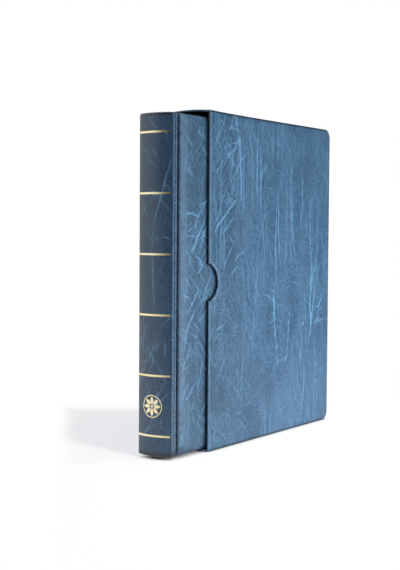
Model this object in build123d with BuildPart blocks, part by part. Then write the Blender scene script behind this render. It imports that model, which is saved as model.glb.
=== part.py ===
from build123d import *
import os
from math import asin, atan2, cos, degrees, radians, sin, sqrt

# A padded ring binder with a rounded spine, standing in its slipcase and drawn part of the way out.
# X runs from the slipcase's open mouth (-X) to its closed rear (+X), Y through its thickness from the
# front (-Y) to the back (+Y), and Z up. The origin is the middle of the slipcase's foot. Millimetres.

# Slipcase
case_height = 325.0
case_depth = 246.0
case_thickness = 46.0
case_corner_radius = 10.0
case_mouth_radius = 1.5
panel_board = 2.0
strip_board = 1.6
covering = 0.5
lining = 0.3
edge_round = 1.2
notch_radius = 17.5
notch_centre_outside = 1.2

# Binder, at rest in the slipcase
pull_out = 60.5
binder_length = 243.0
binder_side_gap = 0.7
binder_floor_gap = 0.3
binder_head_gap = 3.2
cover_board = 1.8
pad_foam = 3.0
pad_soft_edge = 9.0
pad_soft_turn = 1.8
pad_joint_edge = 5.0
pad_joint_turn = 2.0
cover_corner_radius = 3.0
endpaper_margin = 2.5

# Spine and joints
spine_bulge = 4.46
spine_board = 2.0
spine_end_round = 2.2
spine_side_round = 1.5
joint_recess = 0.9
joint_length = 12.3
groove_width = 2.4
groove_depth = 2.3
groove_round = 0.4
ridge_places = (6.8, 10.8)
ridge_radius = 0.9
ridge_height = 0.6

# Foil on the spine
foil = 0.1
foil_line_height = 1.9
foil_line_count = 6
foil_line_below_head = 17.8
foil_line_above_tail = 19.4
ornament_above_tail = 46.8
ornament_radius = 10.5
ornament_line = 0.8
petal_count = 8
petal_length = 7.0
petal_width = 3.2
petal_ring_radius = 5.5
ornament_boss_radius = 1.2

# Ring mechanism, on the inside of the spine
rail_end_inset = 18.35
rail_width = 21.0
rail_height = 6.5
rail_side_height = 4.0
rail_shoulder = 1.2
rail_sheet = 0.8
rail_lip = 1.6
rail_seat_gap = 0.05
rail_ear_length = 7.0
plate_sheet = 0.8
plate_level = 1.9
plate_middle_gap = 0.3
plate_edge_gap = 0.3
plate_end_gap = 4.0
ring_count = 4
ring_end_inset = 20.0
ring_wire = 2.8
ring_cover_gap = 2.9
ring_leg_spread = 7.4
ring_leg_top = 3.6
ring_leg_bend = 4.0
ring_tip_gap = 0.1
ring_hole_clearance = 0.05
slot_clearance = 0.4
slot_floor = 2.9
slot_inner_room = 0.5
rivet_shank = 4.0
rivet_head = 7.6
rivet_head_height = 1.2
rivet_foot = 9.0
rivet_foot_height = 0.5
rivet_foot_sunk = 0.3
rivet_clearance = 0.1
plate_rivet_room = 0.8
lever_sheet = 1.0
lever_hub_radius = 1.6
lever_side_gap = 1.2
lever_pin_radius = 0.9
lever_pin_proud = 0.3
pin_clearance = 0.05
lever_pivot_level = 2.6
lever_pivot_inset = 1.5
lever_nose_length = 4.6
lever_nose_width = 4.0
lever_nose_clearance = 0.2
lever_arm_length = 13.5
lever_arm_lean = 65.0
lever_width = 12.0
lever_lip_radius = 1.1

# How far a cutting shape runs past what it cuts
beyond = 2.0

# Slipcase faces and levels
panel = panel_board + covering
strip = strip_board + covering
mouth_x = -case_depth / 2
rear_x = case_depth / 2
case_middle_z = case_height / 2
panel_inner_y = case_thickness / 2 - panel

# Binder faces and levels. Distances named as outer or inner are measured from the middle plane, Y = 0.
binder_tail_z = strip + lining + binder_floor_gap
binder_head_z = case_height - strip - lining - binder_head_gap
binder_height = binder_head_z - binder_tail_z
binder_middle_z = (binder_head_z + binder_tail_z) / 2
apex_x = mouth_x - pull_out
fore_edge_x = apex_x + binder_length
cover_start_x = apex_x + joint_length + groove_width
pad_outer = panel_inner_y - lining - binder_side_gap
foam_outer = pad_outer - covering
board_outer = foam_outer - pad_foam
board_inner = board_outer - cover_board
paper_inner = board_inner - lining
joint_outer = pad_outer - joint_recess
joint_inner = joint_outer - covering

# Spine arc: its radius from its rise over a chord between the two joints' faces, its centre, its layers
# and the half angle at which it turns into the joints
spine_radius = (joint_outer**2 + spine_bulge**2) / (2 * spine_bulge)
spine_centre_x = apex_x + spine_radius
spine_skin_middle = spine_radius - covering / 2
spine_board_outer = spine_radius - covering
spine_board_inner = spine_board_outer - spine_board
spine_lining_inner = spine_board_inner - lining
joint_middle = joint_outer - covering / 2
spine_half_angle = asin((joint_middle - spine_side_round) / (spine_skin_middle - spine_side_round))

# Rail datum: its two long edges stand on the inside of the spine
rail_base_x = spine_centre_x - sqrt(spine_lining_inner**2 - (rail_width / 2) ** 2) + rail_seat_gap
rail_length = binder_height - 2 * rail_end_inset
rail_end_z = rail_length / 2
plate_pivot_y = rail_width / 2 - rail_sheet - plate_edge_gap - plate_sheet / 2
plate_end_z = rail_end_z - plate_end_gap

# Rings spread evenly over the rail, and a rivet midway between the last two rings at each end
ring_pitch = (rail_length - 2 * ring_end_inset) / (ring_count - 1)
ring_heights = [binder_middle_z + (i - (ring_count - 1) / 2) * ring_pitch for i in range(ring_count)]
rivet_heights = [binder_middle_z + side * (ring_count / 2 - 1) * ring_pitch for side in (-1, 1)]
ring_radius = paper_inner - ring_cover_gap - ring_wire / 2
slot_inner_edge = ring_leg_spread - ring_wire / 2 - slot_inner_room

lever_hub_width = rail_width - 2 * (rail_sheet + lever_side_gap)
lever_pivot_x = rail_base_x + lever_pivot_level
upper_pivot_z = binder_middle_z + rail_end_z - lever_pivot_inset
ornament_z = binder_tail_z + ornament_above_tail
foil_line_pitch = (binder_height - foil_line_below_head - foil_line_above_tail) / (foil_line_count - 1)
foil_heights = [binder_head_z - foil_line_below_head - i * foil_line_pitch for i in range(foil_line_count)]

os.makedirs("parts", exist_ok=True)


def save(piece, name):
    """Label a finished piece and write it under its own name."""
    piece.part.label = name
    export_step(piece.part, f"parts/{name}.step")


def twin(piece, plane):
    """The same piece on the other side of a plane."""
    with BuildPart() as other:
        mirror(piece.part, about=plane)
    return other


def panel_outline(plane, inset, mouth_inset):
    """A side panel's outline, drawn in on every edge, with round rear corners and a thumb notch."""
    with BuildSketch(plane) as outline:
        with Locations(((mouth_inset - inset) / 2, case_middle_z)):
            Rectangle(case_depth - inset - mouth_inset, case_height - 2 * inset)
        fillet(outline.vertices().group_by(Axis.X)[-1], case_corner_radius - inset)
        if inset < case_mouth_radius:
            fillet(outline.vertices().group_by(Axis.X)[0], case_mouth_radius - inset)
        with Locations((mouth_x - notch_centre_outside, case_middle_z)):
            Circle(notch_radius + mouth_inset, mode=Mode.SUBTRACT)
    return outline.sketch


def edge_band(outer, inner, mouth_inset):
    """The band between two insets of the slipcase's edge, round its top, rear and foot."""
    with BuildSketch(Plane.XZ) as band:
        with Locations(((mouth_inset - outer) / 2, case_middle_z)):
            Rectangle(case_depth - outer - mouth_inset, case_height - 2 * outer)
        fillet(band.vertices().group_by(Axis.X)[-1], case_corner_radius - outer)
        if outer < case_mouth_radius:
            fillet(band.vertices().group_by(Axis.X)[0], case_mouth_radius - outer)
        with BuildSketch(Plane.XZ, mode=Mode.SUBTRACT) as hollow:
            with Locations((-inner / 2 - beyond, case_middle_z)):
                Rectangle(case_depth - inner + 2 * beyond, case_height - 2 * inner)
            fillet(hollow.vertices().group_by(Axis.X)[-1], case_corner_radius - inner)
    return band.sketch


# Slipcase boards: two panels with the full outline, and between them one strip bent round the edge

with BuildPart() as slipcase_front_board:
    extrude(panel_outline(Plane.XZ.offset(panel_inner_y), covering, covering), amount=panel_board)
save(slipcase_front_board, "slipcase_front_board")
save(twin(slipcase_front_board, Plane.XZ), "slipcase_back_board")

with BuildPart() as slipcase_edge_board:
    extrude(edge_band(covering, strip, covering), amount=panel_inner_y, both=True)
save(slipcase_edge_board, "slipcase_edge_board")

# Leatherette on the slipcase: a tray over each panel, which also lines the notch's cut edge, and a skin
# on the strip in three stretches, turned over the board's end at the mouth

with BuildPart() as slipcase_front_covering:
    extrude(panel_outline(Plane.XZ.offset(panel_inner_y), 0, 0), amount=panel)
    fillet(slipcase_front_covering.faces().sort_by(Axis.Y)[0].edges(), edge_round)
    add(slipcase_front_board.part, mode=Mode.SUBTRACT)
save(slipcase_front_covering, "slipcase_front_covering")
save(twin(slipcase_front_covering, Plane.XZ), "slipcase_back_covering")

with BuildPart() as edge_skin:
    extrude(edge_band(0, strip, 0), amount=panel_inner_y, both=True)
    add(slipcase_edge_board.part, mode=Mode.SUBTRACT)

bend_start = Plane.YZ.offset(rear_x - case_corner_radius)
with BuildPart() as slipcase_rear_covering:
    add(edge_skin.part)
    split(bisect_by=bend_start, keep=Keep.TOP)
save(slipcase_rear_covering, "slipcase_rear_covering")

for name, side in (("slipcase_top_covering", Keep.TOP), ("slipcase_bottom_covering", Keep.BOTTOM)):
    with BuildPart() as flat_skin:
        add(edge_skin.part)
        split(bisect_by=bend_start, keep=Keep.BOTTOM)
        split(bisect_by=Plane.XY.offset(case_middle_z), keep=side)
    save(flat_skin, name)

# Black paper inside the slipcase

with BuildPart() as slipcase_front_lining:
    extrude(panel_outline(Plane.XZ.offset(panel_inner_y - lining), strip, covering), amount=lining)
save(slipcase_front_lining, "slipcase_front_lining")
save(twin(slipcase_front_lining, Plane.XZ), "slipcase_back_lining")

with BuildPart() as slipcase_edge_lining:
    extrude(edge_band(strip, strip + lining, covering), amount=panel_inner_y - lining, both=True)
save(slipcase_edge_lining, "slipcase_edge_lining")


def cover_outline(level, inset):
    """The front cover's outline on a plane facing forwards."""
    with BuildSketch(Plane.XZ.offset(level)) as outline:
        with Locations(((cover_start_x + fore_edge_x) / 2, binder_middle_z)):
            width = fore_edge_x - cover_start_x - 2 * inset
            RectangleRounded(width, binder_height - 2 * inset, cover_corner_radius - inset)
    return outline.sketch


def soft_edge(start, along, hand, width, fall, turn):
    """A wide arc that leaves a flat face and a tight one that meets the rim square to it."""
    crown_radius = (width**2 + fall**2 - 2 * width * turn) / (2 * (fall - turn))
    crown_bend = degrees(atan2(width - turn, crown_radius - fall))
    crown = JernArc(start, along, crown_radius, hand * crown_bend)
    JernArc(crown @ 1, crown % 1, turn, hand * (90 - crown_bend))


def cushioned_form(inset, inner):
    """A front cover's cushioned slab, whose outer face falls away to the board's level at every edge.

    It is the part that three prisms have in common: the outline seen from the front, which sets the
    inner face, the section across the cover, and the section up it, which both run past that face.
    """
    outer = pad_outer - inset
    rim = board_outer
    fall = outer - rim
    base = inner - beyond
    width = pad_soft_edge - inset
    turn = pad_soft_turn - inset
    joint_width = pad_joint_edge - inset
    joint_turn = pad_joint_turn - inset
    left = cover_start_x + inset
    right = fore_edge_x - inset
    foot = binder_tail_z + inset
    head = binder_head_z - inset
    with BuildPart() as form:
        extrude(cover_outline(inner, inset), amount=outer - inner)
        with BuildSketch(Plane.XY.offset(foot)):
            with BuildLine():
                Polyline((left, -rim), (left, -base), (right, -base), (right, -rim))
                Line((right - width, -outer), (left + joint_width, -outer))
                soft_edge((right - width, -outer), (1, 0), 1, width, fall, turn)
                soft_edge((left + joint_width, -outer), (-1, 0), -1, joint_width, fall, joint_turn)
            make_face()
        extrude(amount=head - foot, mode=Mode.INTERSECT)
        with BuildSketch(Plane.YZ.offset(left)):
            with BuildLine():
                Polyline((-rim, foot), (-base, foot), (-base, head), (-rim, head))
                Line((-outer, head - width), (-outer, foot + width))
                soft_edge((-outer, head - width), (0, 1), -1, width, fall, turn)
                soft_edge((-outer, foot + width), (0, -1), 1, width, fall, turn)
            make_face()
        extrude(amount=right - left, mode=Mode.INTERSECT)
    return form


# Covers: board, foam pad, endpaper, and a leatherette tray drawn over the pad and round the board, with
# its edges turned in round the endpaper on the three sides away from the joint

with BuildPart() as front_cover_board:
    extrude(cover_outline(board_inner, covering), amount=cover_board)
save(front_cover_board, "front_cover_board")
save(twin(front_cover_board, Plane.XZ), "back_cover_board")

front_cover_pad = cushioned_form(covering, board_outer)
save(front_cover_pad, "front_cover_pad")
save(twin(front_cover_pad, Plane.XZ), "back_cover_pad")

with BuildPart() as front_endpaper:
    extrude(cover_outline(paper_inner, endpaper_margin), amount=lining)
save(front_endpaper, "front_endpaper")
save(twin(front_endpaper, Plane.XZ), "back_endpaper")

with BuildPart() as front_cover_covering:
    add(cushioned_form(0, paper_inner).part)
    add(front_cover_pad.part, mode=Mode.SUBTRACT)
    add(front_cover_board.part, mode=Mode.SUBTRACT)
    add(front_endpaper.part, mode=Mode.SUBTRACT)
    with BuildSketch(Plane.XZ.offset(paper_inner)):
        with Locations((cover_start_x, binder_middle_z)):
            Rectangle(2 * endpaper_margin, binder_height + beyond)
    extrude(amount=lining, mode=Mode.SUBTRACT)
save(front_cover_covering, "front_cover_covering")
save(twin(front_cover_covering, Plane.XZ), "back_cover_covering")


def spine_arc_solid(inner, outer, foot, head, end_round, half_angle):
    """A layer of the rounded spine: its upright section turned about the spine's axis."""
    start = Vector(-cos(half_angle), sin(half_angle), 0)
    section_plane = Plane(origin=(spine_centre_x, 0, 0), x_dir=start, z_dir=start.cross(Vector(0, 0, 1)))
    with BuildPart() as layer:
        with BuildSketch(section_plane) as section:
            with Locations(((inner + outer) / 2, (foot + head) / 2)):
                Rectangle(outer - inner, head - foot)
            if end_round > 0:
                fillet(section.vertices().group_by(Axis.X)[0], end_round)
        revolve(axis=Axis((spine_centre_x, 0, 0), (0, 0, 1)), revolution_arc=degrees(2 * half_angle))
    return layer


# Spine: a bent board in a leatherette skin, and the stretch of that skin in each pressed joint

spine_board_piece = spine_arc_solid(
    spine_board_inner,
    spine_board_outer,
    binder_tail_z + covering,
    binder_head_z - covering,
    spine_end_round - covering,
    spine_half_angle,
)
with BuildPart() as spine_board_drilled:
    add(spine_board_piece.part)
    for z in rivet_heights:
        with BuildSketch(Plane.YZ.offset(apex_x)):
            with Locations((0, z)):
                Circle(rivet_shank / 2 + rivet_clearance)
        extrude(amount=2 * spine_board, mode=Mode.SUBTRACT)
        with BuildSketch(Plane.YZ.offset(apex_x)):
            with Locations((0, z)):
                Circle(rivet_foot / 2 + rivet_clearance)
        extrude(amount=covering + rivet_foot_sunk + rivet_foot_height, mode=Mode.SUBTRACT)
save(spine_board_drilled, "spine_board")

joint_turn = degrees(spine_half_angle)
side_arc_centre = Vector(
    spine_centre_x - (spine_skin_middle - spine_side_round) * cos(spine_half_angle),
    -(spine_skin_middle - spine_side_round) * sin(spine_half_angle),
)
groove_near_x = apex_x + joint_length + covering / 2
groove_floor = joint_middle - groove_depth

with BuildPart() as front_joint_covering:
    with BuildSketch(Plane.XY.offset(binder_tail_z)):
        with BuildLine():
            CenterArc(side_arc_centre, spine_side_round, 180 + joint_turn, 90 - joint_turn)
            FilletPolyline(
                (side_arc_centre.X, -joint_middle),
                (groove_near_x, -joint_middle),
                (groove_near_x, -groove_floor),
                (cover_start_x, -groove_floor),
                radius=groove_round,
            )
        trace(line_width=covering)
        with Locations(*[(apex_x + place, -joint_outer + ridge_radius - ridge_height) for place in ridge_places]):
            Circle(ridge_radius)
        with Locations((side_arc_centre.X, -joint_inner)):
            ridge_room = groove_near_x - covering / 2 - side_arc_centre.X
            Rectangle(ridge_room, ridge_radius, align=(Align.MIN, Align.MIN), mode=Mode.SUBTRACT)
    extrude(amount=binder_height)
save(front_joint_covering, "front_joint_covering")
save(twin(front_joint_covering, Plane.XZ), "back_joint_covering")

spine_block = spine_arc_solid(
    spine_board_inner, spine_radius, binder_tail_z, binder_head_z, spine_end_round, spine_half_angle
)
with BuildPart() as spine_covering:
    add(spine_block.part)
    add(spine_board_piece.part, mode=Mode.SUBTRACT)
save(spine_covering, "spine_covering")

# The spine's lining follows the inside of the board and reaches over each joint to the cover

wing_start = Vector(
    spine_centre_x - (spine_board_inner - lining / 2) * cos(spine_half_angle),
    -(spine_board_inner - lining / 2) * sin(spine_half_angle),
)
with BuildPart() as spine_lining:
    add(
        spine_arc_solid(
            spine_lining_inner,
            spine_board_inner,
            binder_tail_z + covering,
            binder_head_z - covering,
            0,
            spine_half_angle,
        ).part
    )
    with BuildSketch(Plane.XY.offset(binder_tail_z + covering)):
        with BuildLine():
            Polyline(
                wing_start,
                (cover_start_x - lining, lining / 2 - board_inner),
                (cover_start_x + endpaper_margin, lining / 2 - board_inner),
            )
        trace(line_width=lining)
        mirror(about=Plane.XZ)
    extrude(amount=binder_height - 2 * covering)
    for z in rivet_heights:
        with BuildSketch(Plane.YZ.offset(apex_x)):
            with Locations((0, z)):
                Circle(rivet_shank / 2 + rivet_clearance)
        extrude(amount=spine_radius - spine_lining_inner + beyond, mode=Mode.SUBTRACT)
save(spine_lining, "spine_lining")

# Foil: lines across the spine from joint to joint, and a rosette in a ring near the foot

with BuildPart() as foil_lines:
    for z in foil_heights:
        half = foil_line_height / 2
        add(spine_arc_solid(spine_radius, spine_radius + foil, z - half, z + half, 0, spine_half_angle).part)
save(foil_lines, "foil_lines")

with BuildSketch() as petal:
    with BuildLine():
        ThreePointArc((-petal_length / 2, 0), (0, petal_width / 2), (petal_length / 2, 0))
        ThreePointArc((-petal_length / 2, 0), (0, -petal_width / 2), (petal_length / 2, 0))
    make_face()

ornament_half_angle = asin((ornament_radius + beyond) / spine_radius)
with BuildPart() as foil_rosette:
    add(
        spine_arc_solid(
            spine_radius,
            spine_radius + foil,
            ornament_z - ornament_radius - beyond,
            ornament_z + ornament_radius + beyond,
            0,
            ornament_half_angle,
        ).part
    )
    with BuildSketch(Plane.YZ.offset(apex_x - beyond)):
        with Locations((0, ornament_z)):
            Circle(ornament_radius)
            Circle(ornament_radius - ornament_line, mode=Mode.SUBTRACT)
            Circle(ornament_boss_radius)
            with PolarLocations(petal_ring_radius, petal_count):
                add(petal.sketch)
    extrude(amount=2 * beyond + spine_radius - spine_board_inner, mode=Mode.INTERSECT)
save(foil_rosette, "foil_rosette")

# Ring mechanism rail: a C of spring steel with shoulders, curled lips that hold the plates, a slot for
# each ring leg, a hole for each rivet, and at each end two ears that carry the lever's pin

rail_plane = Plane.XY.offset(binder_middle_z - rail_end_z)
with BuildPart() as ring_rail:
    with BuildSketch(rail_plane) as rail_section:
        with BuildLine():
            Polyline(
                (rail_base_x + rail_side_height, -rail_width / 2),
                (rail_base_x, -rail_width / 2),
                (rail_base_x, rail_width / 2),
                (rail_base_x + rail_side_height, rail_width / 2),
            )
            ThreePointArc(
                (rail_base_x + rail_side_height, rail_width / 2),
                (rail_base_x + rail_height, 0),
                (rail_base_x + rail_side_height, -rail_width / 2),
            )
        make_face()
        fillet(rail_section.vertices().group_by(Axis.X)[-1], rail_shoulder)
        offset(amount=-rail_sheet, mode=Mode.SUBTRACT)
        with Locations((rail_base_x, 0)):
            Rectangle(2 * rail_sheet, rail_width - 2 * rail_lip, mode=Mode.SUBTRACT)
    extrude(amount=rail_length)
    for z in ring_heights:
        for side in (-1, 1):
            with Locations((rail_base_x + slot_floor, side * slot_inner_edge, z)):
                Box(
                    rail_height,
                    rail_width,
                    ring_wire + 2 * slot_clearance,
                    align=(Align.MIN, Align.MIN if side > 0 else Align.MAX, Align.CENTER),
                    mode=Mode.SUBTRACT,
                )
    for side in (-1, 1):
        with Locations((rail_base_x, 0, binder_middle_z + side * rail_end_z)):
            Box(
                rail_height,
                rail_width - 2 * rail_sheet,
                2 * rail_ear_length,
                align=(Align.MIN, Align.CENTER, Align.CENTER),
                mode=Mode.SUBTRACT,
            )
        with BuildSketch(Plane.XZ):
            with Locations((lever_pivot_x, binder_middle_z + side * (rail_end_z - lever_pivot_inset))):
                Circle(lever_pin_radius + pin_clearance)
        extrude(amount=rail_width, both=True, mode=Mode.SUBTRACT)
    for z in rivet_heights:
        with BuildSketch(Plane.YZ.offset(rail_base_x)):
            with Locations((0, z)):
                Circle(rivet_shank / 2 + rivet_clearance)
        extrude(amount=rail_height + beyond, mode=Mode.SUBTRACT)
save(ring_rail, "ring_rail")

# Rail rivets: a domed head on the rail's crown, a shank, and a flat foot let into the spine board

crown_x = rail_base_x + rail_height
foot_x = apex_x + covering + rivet_foot_sunk
dome_radius = ((rivet_head / 2) ** 2 + rivet_head_height**2) / (2 * rivet_head_height)
with BuildPart() as rail_rivets:
    for z in rivet_heights:
        with BuildSketch(Plane.XY.offset(z)):
            with BuildLine():
                Polyline(
                    (crown_x + rivet_head_height, 0),
                    (foot_x, 0),
                    (foot_x, rivet_foot / 2),
                    (foot_x + rivet_foot_height, rivet_foot / 2),
                    (foot_x + rivet_foot_height, rivet_shank / 2),
                    (crown_x, rivet_shank / 2),
                    (crown_x, rivet_head / 2),
                )
                RadiusArc((crown_x, rivet_head / 2), (crown_x + rivet_head_height, 0), dome_radius)
            make_face()
        revolve(axis=Axis((crown_x, 0, z), (1, 0, 0)))
save(rail_rivets, "rail_rivets")

# Toggle plates: each swings about its outer edge under the rail and carries one half of every ring

with BuildPart() as front_toggle_plate:
    with BuildSketch(Plane.XY.offset(binder_middle_z - plate_end_z)):
        with Locations((rail_base_x + plate_level, -plate_middle_gap / 2)):
            Rectangle(plate_sheet, plate_pivot_y - plate_middle_gap / 2, align=(Align.MIN, Align.MAX))
        with Locations((rail_base_x + plate_level + plate_sheet / 2, -plate_pivot_y)):
            Circle(plate_sheet / 2)
    extrude(amount=2 * plate_end_z)
    with BuildSketch(Plane.YZ.offset(rail_base_x)):
        with Locations(*[(0, z) for z in rivet_heights]):
            Circle(rivet_shank / 2 + plate_rivet_room)
        with Locations(*[(-ring_leg_spread, z) for z in ring_heights]):
            Circle(ring_wire / 2 + ring_hole_clearance)
    extrude(amount=rail_height, mode=Mode.SUBTRACT)
save(front_toggle_plate, "front_toggle_plate")
save(twin(front_toggle_plate, Plane.XZ), "back_toggle_plate")

# Ring halves: a leg up from the plate, a short bend outwards, and the arc of the ring to its tip.
# The bend and the ring's arc touch where the line between their centres crosses them.

bend_centre = Vector(rail_base_x + ring_leg_top, -(ring_leg_spread + ring_leg_bend))
reach = ring_radius + ring_leg_bend
ring_centre = Vector(bend_centre.X + sqrt(reach**2 - bend_centre.Y**2), 0)
meet_angle = degrees(asin(-bend_centre.Y / reach))
tip_angle = degrees(asin((ring_tip_gap / 2) / ring_radius))

with BuildPart() as half_ring:
    with BuildLine(Plane.XY) as ring_path:
        leg_foot = (rail_base_x + plate_level, -ring_leg_spread)
        leg_top = (rail_base_x + ring_leg_top, -ring_leg_spread)
        Line(leg_foot, leg_top)
        CenterArc(bend_centre, ring_leg_bend, 90, meet_angle - 90)
        CenterArc(ring_centre, ring_radius, 180 + meet_angle, 180 - meet_angle - tip_angle)
    with BuildSketch(Plane(origin=leg_foot, z_dir=(1, 0, 0))):
        Circle(ring_wire / 2)
    sweep()

with BuildPart() as front_ring_halves:
    with Locations(*[(0, 0, z) for z in ring_heights]):
        add(half_ring.part)
save(front_ring_halves, "front_ring_halves")
save(twin(front_ring_halves, Plane.XZ), "back_ring_halves")

# Levers: a hub on its pin, a nose under the plates, and a leaning thumb tab with a rolled lip

nose_top_x = rail_base_x + plate_level - lever_nose_clearance
lean = radians(lever_arm_lean)
lip_centre = Vector(
    lever_pivot_x + lever_arm_length * sin(lean),
    upper_pivot_z + lever_arm_length * cos(lean),
)
with BuildPart() as upper_lever:
    with BuildSketch(Plane.XZ):
        with Locations((lever_pivot_x, upper_pivot_z)):
            Circle(lever_hub_radius)
    extrude(amount=lever_hub_width / 2, both=True)
    with BuildSketch(Plane.XZ):
        with Locations((nose_top_x, upper_pivot_z)):
            Rectangle(lever_sheet, lever_nose_length, align=(Align.MAX, Align.MAX))
    extrude(amount=lever_nose_width / 2, both=True)
    tab_plane = Plane(origin=(lever_pivot_x, 0, upper_pivot_z), x_dir=(0, 1, 0), z_dir=(-cos(lean), 0, sin(lean)))
    with BuildSketch(tab_plane) as tab:
        Rectangle(lever_width, lever_arm_length, align=(Align.CENTER, Align.MAX))
    extrude(amount=lever_sheet / 2, both=True)
    with BuildSketch(Plane.XZ):
        with Locations(lip_centre):
            Circle(lever_lip_radius)
    extrude(amount=lever_width / 2, both=True)
    with BuildSketch(Plane.XZ):
        with Locations((lever_pivot_x, upper_pivot_z)):
            Circle(lever_pin_radius + pin_clearance)
    extrude(amount=rail_width, both=True, mode=Mode.SUBTRACT)
save(upper_lever, "upper_lever")
save(twin(upper_lever, Plane.XY.offset(binder_middle_z)), "lower_lever")

with BuildPart() as lever_pins:
    for side in (-1, 1):
        with BuildSketch(Plane.XZ):
            with Locations((lever_pivot_x, binder_middle_z + side * (rail_end_z - lever_pivot_inset))):
                Circle(lever_pin_radius)
        extrude(amount=rail_width / 2 + lever_pin_proud, both=True)
save(lever_pins, "lever_pins")
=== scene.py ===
"""Looks for the ring binder and its slipcase: leatherette sheets, black lining, foil and metal, built in
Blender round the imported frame. Metres, in the frame's axes: X from the mouth to the rear, Y from front to
back, Z up. Levels of faces are counted from the middle plane between front and back."""

import math

import bpy
import numpy as np
from mathutils import Matrix, Vector


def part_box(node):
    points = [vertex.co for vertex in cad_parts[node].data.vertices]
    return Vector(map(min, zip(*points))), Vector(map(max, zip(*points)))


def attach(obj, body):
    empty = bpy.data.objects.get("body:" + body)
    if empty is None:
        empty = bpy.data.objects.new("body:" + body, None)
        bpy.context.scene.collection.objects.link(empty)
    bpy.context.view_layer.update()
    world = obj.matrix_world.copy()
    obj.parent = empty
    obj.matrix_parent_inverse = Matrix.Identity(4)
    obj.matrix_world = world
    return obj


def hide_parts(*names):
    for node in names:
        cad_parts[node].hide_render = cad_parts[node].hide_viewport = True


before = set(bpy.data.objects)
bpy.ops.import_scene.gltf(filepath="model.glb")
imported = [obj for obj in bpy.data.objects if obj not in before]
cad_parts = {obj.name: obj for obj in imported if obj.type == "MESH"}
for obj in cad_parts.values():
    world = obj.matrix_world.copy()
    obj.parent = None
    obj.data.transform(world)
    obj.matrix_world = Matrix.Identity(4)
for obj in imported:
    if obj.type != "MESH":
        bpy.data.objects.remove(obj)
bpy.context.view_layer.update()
scene = bpy.context.scene

MM = 0.001

# Sizes read off the frame

CASE_LOW, CASE_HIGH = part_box("slipcase_front_covering")
COVER_LOW, COVER_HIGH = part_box("front_cover_covering")
JOINT_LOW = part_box("front_joint_covering")[0]
MOUTH_X, REAR_X = CASE_LOW[0], CASE_HIGH[0]
CASE_FACE = -CASE_LOW[1]
PANEL_INNER = -CASE_HIGH[1]
CASE_TOP = CASE_HIGH[2]
CASE_MIDDLE = CASE_TOP / 2
APEX_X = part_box("spine_covering")[0][0]
COVER_START_X, FORE_EDGE_X = COVER_LOW[0], COVER_HIGH[0]
PAD_FACE = -COVER_LOW[1]
COVER_INNER = -COVER_HIGH[1]
TAIL, HEAD = COVER_LOW[2], COVER_HIGH[2]

# Sizes that the frame's boxes don't give, as in the part

CASE_CORNER = 10 * MM
CASE_MOUTH_ROUND, LEAST_ROUND = 1.5 * MM, 0.2 * MM
EDGE_ROUND, EDGE_STEP = 1.2 * MM, 1.8 * MM
NOTCH_RADIUS = 17.5 * MM
NOTCH_CENTRE_X = MOUTH_X - 1.2 * MM
SKIN = 0.5 * MM
STRIP = 2.1 * MM
LINING = 0.3 * MM
PAD_FALL = 3.5 * MM
PAD_SOFT_EDGE = 9 * MM
PAD_JOINT_EDGE = 5 * MM
COVER_CORNER = 3 * MM
TURN_IN, TURN_ROUND, TURN_FALL = 2.5 * MM, 0.15 * MM, 0.3 * MM
SPINE_BULGE = 4.46 * MM
SPINE_WALL, WALL_FADE = 2.45 * MM, 0.5 * MM
SPINE_AROUND = 70 * MM
SPINE_END_ROUND = 2.2 * MM
JOINT_END_ROUND = 0.25 * MM
JOINT_END_LIFT = 1.0 * MM
JOINT_SIDE_ROUND = 1.75 * MM
JOINT_LENGTH = 12.3 * MM
ROUND_LENGTH, ROUND_FADE = 5.5 * MM, 1.5 * MM
GROOVE_DEPTH = 2.3 * MM
GROOVE_ROUNDS = (0.7 * MM, 0.55 * MM)
RIDGE_PLACES = (6.8 * MM, 10.8 * MM)
RIDGE_WIDTH = 2.1 * MM
RIDGE_HEIGHT = 0.6 * MM
JOINT_FACE = -JOINT_LOW[1] - RIDGE_HEIGHT
SPINE_RADIUS = (JOINT_FACE**2 + SPINE_BULGE**2) / (2 * SPINE_BULGE)

# Small form that the photograph shows and the part leaves plain

MOUTH_BOW = 1.0 * MM
MOUTH_BOW_REACH = 33 * MM
MOUTH_BOW_FROM = 240 * MM
STRIP_END_ROUND = 0.9 * MM
PAPER_FOLD = 1.2 * MM
PAPER_PROUD = 0.06 * MM
STUFFING_SWELL = 0.6 * MM
CREASE_DEPTH = 0.05 * MM
# Painted light: a painted highlight on the panels' mouth edges and along a cover's sides, painted shade on
# the panels' other edges, at the feet and at the spine's head, and how far they fade in
MOUTH_HIGHLIGHT, EDGE_SHADE, MOUTH_SIDE = 0.9, -0.8, -0.3
SIDE_HIGHLIGHT = 0.25
EDGE_FADE = 0.9 * MM
FOOT_SHADE, HEAD_SHADE, LEAST_SHADE = 0.85, 0.75, 0.05
FOOT_FADE = 1.3 * MM

# Painted highlight, or under 0 painted shade, on the joint at millimetres from the spine's apex, over its two
# ridges and its groove, and on a cover at millimetres from its edge

JOINT_PAINTED_LIGHT = (
    (4, 0), (4.6, -0.6), (5.4, -0.3), (6.2, 0.9), (7.2, 0.9), (7.8, -0.6), (9, -0.9), (9.8, 0.5), (10.4, 0.9),
    (11.2, 0.7), (11.9, -0.8), (16, -0.95),
)
SHOULDER_PAINTED_LIGHT = (0, -0.95), (0.8, -0.8), (1.8, 0), (3.2, 0.4), (8, 0.42), (14, 0.15), (26, 0)

# Pitch of the meshes, and the points on a quarter turn, on a wide one and on the notch's half turn

PITCH = 1.05 * MM
FINE_PITCH = 0.45 * MM
JOINT_PITCH = 0.25 * MM
PANEL_PITCH_ACROSS, PANEL_PITCH_UP = 0.85 * MM, 1.3 * MM
COVER_PITCH_UP, COVER_FINE_REACH = 0.8 * MM, 50 * MM
QUARTER, WIDE_QUARTER, NOTCH_TURN = 7, 13, 47
WELD = 0.02 * MM

# Camera, found from the photograph's edges

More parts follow.
